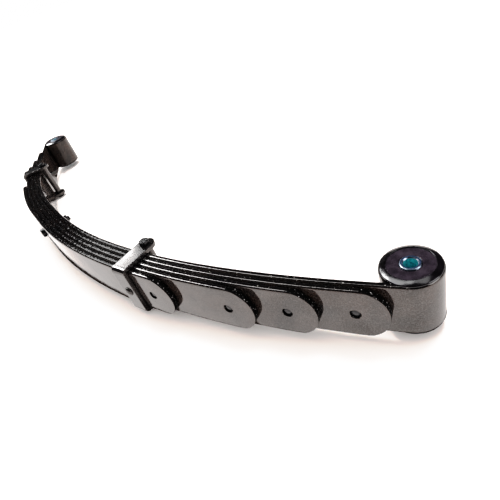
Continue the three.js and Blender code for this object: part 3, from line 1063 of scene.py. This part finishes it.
def edge_mask(tree):
    """1 on faces that look up or down, the leaves' narrow edges, and 0 on upright ones."""
    upward = part_of(tree, "ShaderNodeNewGeometry", "True Normal", "Z")
    return remap(tree, calculate(tree, "ABSOLUTE", upward), 0.3, 0.8, 0, 1)


def along_x(tree, start, stop):
    """0 below one place along the spring, rising to 1 at the other."""
    place = part_of(tree, "ShaderNodeTexCoord", "Object", "X")
    return remap(tree, place, start, stop, 0, 1)


def gloss_paint(name, base, tint, rough, pit_depth, peel_depth, painted_glint_share, dull_edges):
    """Black gloss paint over rolled steel: faint blotches, dust and orange peel.

    Narrow edges are pitted, flecked with light grey painted glints, kept near the base black as
    painted shade, and less glossy up to BRIGHT_EDGES.
    """
    material, tree, shader = new_material(name)
    dust = (0.08, 0.073, 0.07)
    painted_glint_grey = (0.2, 0.19, 0.18)
    edges = edge_mask(tree)
    blotch = noise(tree, 30, 5, 0.6)
    colour = mix_colours(tree, remap(tree, blotch, 0.35, 0.7, 0, 1), base, tint)
    grain = remap(tree, noise(tree, 650, 2, 0.7), 0.45, 0.72, 0, 0.7)
    # painted shade: the narrow edges lose the dust and tint and go back towards the base black
    colour = mix_colours(tree, times(tree, grain, remap(tree, edges, 0, 1, 1, 0)), colour, dust)
    colour = mix_colours(tree, remap(tree, edges, 0, 1, 0, 0.85), colour, base)
    # painted glints: light grey flecks on the narrow edges
    painted_glints = remap(tree, noise(tree, 330, 2, 0.6), 0.65, 0.71, 0, painted_glint_share)
    colour = mix_colours(tree, times(tree, painted_glints, edges), colour, painted_glint_grey)
    streak = noise(tree, 60, 3, 0.6, (0.5, 0.5, 2.5))
    pits = bump(tree, times(tree, noise(tree, 150, 1.5, 0.6), edges), pit_depth, 0.8)
    peel = bump(tree, noise(tree, 420, 2, 0.5), peel_depth, 0.8, pits)
    gloss = remap(tree, along_x(tree, *DULL_END), 0, 1, DULL_GLOSS, FULL_GLOSS)
    gloss = times(tree, gloss, remap(tree, noise(tree, 24, 4, 0.6), 0.3, 0.7, 0.8, 1.15))
    edge_share = remap(tree, along_x(tree, *BRIGHT_EDGES), 0, 1, dull_edges, 1)
    feed(tree, shader, {
        "Base Color": colour,
        "Roughness": remap(tree, streak, 0.3, 0.7, rough * 0.75, rough * 1.35),
        "Normal": bump(tree, noise(tree, 45, 2, 0.4), 0.8 * pit_depth, 0.5, peel),
        "IOR": 1.72,
        "Specular Tint": (1.0, 0.965, 0.945, 1),
        "Specular IOR Level": pick(tree, edges, gloss, times(tree, gloss, edge_share)),
    })
    return material


def trimmed_end_paint():
    """Thin paint on the rough, trimmed ends of the leaves: nearly black, with painted glints,
    light grey flecks in its colour.
    """
    material, tree, shader = new_material("trimmed_end")
    rough = noise(tree, 260, 4, 0.6)
    painted_end_glint = remap(tree, noise(tree, 480, 2, 0.6), 0.62, 0.72, 0, 1)
    feed(tree, shader, {
        # painted glints: light grey flecks mixed into the colour
        "Base Color": mix_colours(tree, painted_end_glint, (0.003, 0.003, 0.003), (0.30, 0.29, 0.29)),
        "Roughness": remap(tree, rough, 0.3, 0.7, 0.18, 0.35),
        "Normal": bump(tree, rough, 0.6, 0.7),
        "Specular IOR Level": 0.05,
    })
    return material


def fastener_steel():
    """Black-painted fasteners, with steel showing faintly through the wear."""
    material, tree, shader = new_material("fastener_black")
    wear = noise(tree, 300, 5, 0.65)
    bare = remap(tree, wear, 0.58, 0.72, 0, 0.5)
    feed(tree, shader, {
        "Base Color": mix_colours(tree, bare, (0.005, 0.005, 0.006), (0.2, 0.2, 0.21)),
        "Roughness": remap(tree, wear, 0.3, 0.7, 0.15, 0.3),
        "Metallic": bare,
        "Normal": bump(tree, noise(tree, 900, 3), 0.05),
    })
    return material


def bush_rubber(name, dark, light):
    """Moulded bush: a soft sheen and fine mould marks over a cloudy colour."""
    material, tree, shader = new_material(name)
    cloud = noise(tree, 90, 4)
    feed(tree, shader, {
        "Base Color": mix_colours(tree, remap(tree, cloud, 0.35, 0.68, 0, 1), dark, light),
        "Roughness": remap(tree, cloud, 0.3, 0.7, 0.1, 0.18),
        "Normal": bump(tree, noise(tree, 1500, 3), 0.03),
        "IOR": 1.65,
        "Sheen Weight": 0.5,
        "Sheen Roughness": 0.2,
    })
    return material


def sleeve_steel():
    """Plated sleeve: bright, slightly blue, with turning marks round it."""
    material, tree, shader = new_material("sleeve_plate")
    marks = noise(tree, 700, 3, 0.6, (0.2, 0.2, 3.0))
    feed(tree, shader, {
        "Base Color": mix_colours(tree, marks, (0.20, 0.24, 0.30), (0.36, 0.42, 0.50)),
        "Metallic": 1.0,
        "Roughness": remap(tree, marks, 0.3, 0.7, 0.25, 0.38),
        "Normal": bump(tree, marks, 0.04),
    })
    return material


def shaded_end_steel():
    """End face of the sleeve in a dark blue plate, painted shade, with fine turning marks."""
    material, tree, shader = new_material("sleeve_end_painted_shade")
    marks = noise(tree, 900, 3, 0.6)
    feed(tree, shader, {
        "Base Color": mix_colours(tree, marks, (0.03, 0.045, 0.085), (0.08, 0.11, 0.17)),
        "Metallic": 0.6,
        "Roughness": remap(tree, marks, 0.3, 0.7, 0.25, 0.45),
        "Normal": bump(tree, marks, 0.04),
    })
    return material


def bore_liner():
    """Teal lining of the sleeve's bore: cloudy, with a faint glow of painted light."""
    material, tree, shader = new_material("bore_liner")
    cloud = noise(tree, 420, 3)
    patches = remap(tree, cloud, 0.35, 0.65, 0, 1)
    colour = mix_colours(tree, patches, (0.008, 0.09, 0.11), (0.03, 0.25, 0.28))
    feed(tree, shader, {
        "Base Color": colour,
        "Roughness": remap(tree, cloud, 0.3, 0.7, 0.35, 0.55),
        # painted light: the lining glows faintly in its own colour
        "Emission Color": colour,
        "Emission Strength": 0.3,
    })
    return material


def pad_plastic():
    """Satin black plastic with a fine grain."""
    material, tree, shader = new_material("pad_moulding")
    grain = noise(tree, 500, 3)
    feed(tree, shader, {
        "Base Color": mix_colours(tree, grain, (0.010, 0.010, 0.011), (0.03, 0.03, 0.032)),
        "Roughness": remap(tree, grain, 0.3, 0.7, 0.25, 0.45),
        "Normal": bump(tree, grain, 0.06),
    })
    return material


# ---------- floor, light and camera ----------


def floor_at(height):
    """Wide pale floor under the spring."""
    material, tree, shader = new_material("floor_paper")
    cloud = noise(tree, 3, 3)
    feed(tree, shader, {
        "Base Color": mix_colours(tree, cloud, (0.90, 0.84, 0.81), (0.91, 0.855, 0.825)),
        "Roughness": 0.9,
        "Specular IOR Level": 0.2,
    })
    mesh = bpy.data.meshes.new("floor")
    signs = [(-1, -1), (1, -1), (1, 1), (-1, 1)]
    corners = [(x * FLOOR_HALF, y * FLOOR_HALF, height) for x, y in signs]
    mesh.from_pydata(corners, [], [(0, 1, 2, 3)])
    mesh.materials.append(material)
    add_object("floor", mesh)


def card_edge():
    """Points around the outside of the spring, each with the direction away from it."""
    out = []
    for half in (FAR, NEAR):
        stretch = even(0, half["reach"][0] - EYE_CLEAR, CARD_POINTS)
        if half is FAR:
            stretch.reverse()
        for u in stretch:
            stacked = sum(1 for reach in half["reach"] if reach > u + CARD_STEP)
            deep = stacked * (LEAF_THICK + 1) + CARD_GAP
            near = Vector(arch_place(half, u, deep))
            out.append((near, (Vector(arch_place(half, u, deep + 1)) - near).normalized()))
    centre = Vector(eye_centre(NEAR))
    first = math.atan2(out[-1][1].y, out[-1][1].x)
    steps = 12
    for i in range(1, steps + 1):
        angle = first + math.pi * i / steps
        away = Vector((math.cos(angle), math.sin(angle)))
        out.append((centre + away * (EYE_RADIUS + CARD_GAP), away))
    return out


def floor_card(name, height, inside, outside, colour, strength):
    """Sheet on the floor along the outside of the spring, seen only in reflections; the dark
    one under the spring is painted shadow.
    """
    points = []
    for near, away in card_edge():
        for place in (near + away * inside, near + away * outside):
            points.append((place.x * MM, place.y * MM, height))
    faces = [(i, i + 2, i + 3, i + 1) for i in range(0, len(points) - 2, 2)]
    glowing_sheet(name, points, faces, colour, strength)


def glowing_sheet(name, points, faces, colour, strength):
    """Glowing sheet that is only seen in reflections; its points are in metres."""
    material, tree, glow = new_material(name, "ShaderNodeEmission")
    feed(tree, glow, {"Color": (*colour, 1), "Strength": strength})
    mesh = bpy.data.meshes.new(name)
    mesh.from_pydata(points, [], faces)
    mesh.materials.append(material)
    obj = add_object(name, mesh)
    obj.visible_camera = False
    obj.visible_diffuse = False
    obj.visible_shadow = False
    obj.visible_transmission = False


def towards(azimuth, elevation):
    """Unit vector to a direction given in degrees."""
    a = math.radians(azimuth)
    e = math.radians(elevation)
    return Vector((math.cos(e) * math.cos(a), math.cos(e) * math.sin(a), math.sin(e)))


def reflection_wall(name, azimuths, elevations, distance, strength):
    """White part of a dome. Angles are in degrees."""
    columns = 24
    rows = 8
    points = []
    for i in range(columns + 1):
        azimuth = azimuths[0] + (azimuths[1] - azimuths[0]) * i / columns
        for j in range(rows + 1):
            elevation = elevations[0] + (elevations[1] - elevations[0]) * j / rows
            points.append(towards(azimuth, elevation) * distance)
    faces = []
    for i in range(columns):
        for j in range(rows):
            a = i * (rows + 1) + j
            b = a + rows + 1
            faces.append((a, b, b + 1, a + 1))
    glowing_sheet(name, points, faces, (1, 1, 1), strength)


def sun(name, azimuth, elevation, angle, strength):
    """Soft light from a direction, left out of reflections."""
    light = bpy.data.lights.new(name, "SUN")
    light.angle = math.radians(angle)
    light.energy = strength
    obj = add_object(name, light)
    obj.rotation_mode = "QUATERNION"
    obj.rotation_quaternion = towards(azimuth, elevation).to_track_quat("Z", "Y")
    obj.visible_glossy = False


def sky():
    """World: white to the camera, dark in reflections, soft light all round."""
    world = bpy.data.worlds.new("studio")
    bpy.context.scene.world = world
    world.use_nodes = True
    world.cycles.sampling_method = "NONE"
    tree = world.node_tree
    tree.nodes.clear()
    rays = tree.nodes.new("ShaderNodeLightPath")
    shade = sky_shade(tree, "around")
    for ray, name in (("Is Glossy Ray", "mirrored"), ("Is Camera Ray", "seen")):
        mix = tree.nodes.new("ShaderNodeMixShader")
        tree.links.new(rays.outputs[ray], mix.inputs["Fac"])
        tree.links.new(shade, mix.inputs[1])
        tree.links.new(sky_shade(tree, name), mix.inputs[2])
        shade = mix.outputs[0]
    output = tree.nodes.new("ShaderNodeOutputWorld")
    tree.links.new(shade, output.inputs["Surface"])


def sky_shade(tree, name):
    shade = tree.nodes.new("ShaderNodeBackground")
    feed(tree, shade, {"Color": (1, 1, 1, 1), "Strength": SKY[name]})
    return shade.outputs[0]


def camera():
    """Camera at the place and angle of the reference view."""
    data = bpy.data.cameras.new("camera")
    data.sensor_width = 36
    data.lens = CAMERA_LENS
    data.clip_end = 100
    obj = add_object("camera", data)
    obj.location = Vector(CAMERA_PLACE) * MM
    obj.rotation_euler = [math.radians(turn) for turn in CAMERA_TURN]
    bpy.context.scene.camera = obj


def film():
    """Tone curve of the picture."""
    view = bpy.context.scene.view_settings
    view.view_transform = "Standard"
    view.look = "None"
    view.use_curve_mapping = True
    curves = view.curve_mapping
    for tone_in, tone_out in FILM_TONES:
        curves.curves[3].points.new(tone_in, tone_out)
    curves.update()


# ---------- the scene ----------

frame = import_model()
cad_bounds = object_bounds()

for each in (NEAR, FAR):
    add_arch_table(each)

leaf_paint = gloss_paint(
    "leaf_gloss", (0.003, 0.003, 0.0035), (0.032, 0.021, 0.017), 0.09,
    pit_depth=0.5, peel_depth=0.06, painted_glint_share=1, dull_edges=0.1,
)
clip_paint = gloss_paint(
    "clip_gloss", (0.008, 0.0075, 0.008), (0.018, 0.015, 0.014), 0.14,
    pit_depth=0.02, peel_depth=0.01, painted_glint_share=0, dull_edges=1,
)
end_paint = trimmed_end_paint()
steel_black = fastener_steel()
rubber = bush_rubber("bush_moulding", (0.018, 0.014, 0.019), (0.042, 0.034, 0.043))
# darker copy of the bush rubber for the rim: painted shade
shaded_rim_rubber = bush_rubber("bush_rim_painted_shade", (0.003, 0.0025, 0.003), (0.009, 0.007, 0.01))
plate = sleeve_steel()
shaded_end_plate = shaded_end_steel()
teal = bore_liner()
plastic = pad_plastic()

for each in (NEAR, FAR):
    for leaf in range(len(LEAVES)):
        leaf_half(each, leaf, leaf_paint, end_paint)
        if leaf > 0:
            pad(each, leaf, plastic)
    bush(each, True, rubber, shaded_rim_rubber)
    bush(each, False, rubber, shaded_rim_rubber)
    sleeve(each, plate, teal, shaded_end_plate)
    clip(each, clip_paint, steel_black)
centre_bolt(steel_black)

floor_height = cad_bounds[0][2]
card_height = floor_height + MM
floor_at(floor_height)
floor_card("bright_card", card_height, 0, CARD_DEPTH, (1, 0.955, 0.935), CARD_GLOW)
# painted shadow: a dark sheet under the spring, seen only in reflections
floor_card("shadow_card", card_height, -CARD_UNDER, 0, (1, 0.8, 0.75), SHADOW_CARD_GLOW)
sky()
for light in SUNS:
    sun(*light)
for panel in PANELS:
    reflection_wall(*panel)
camera()
film()
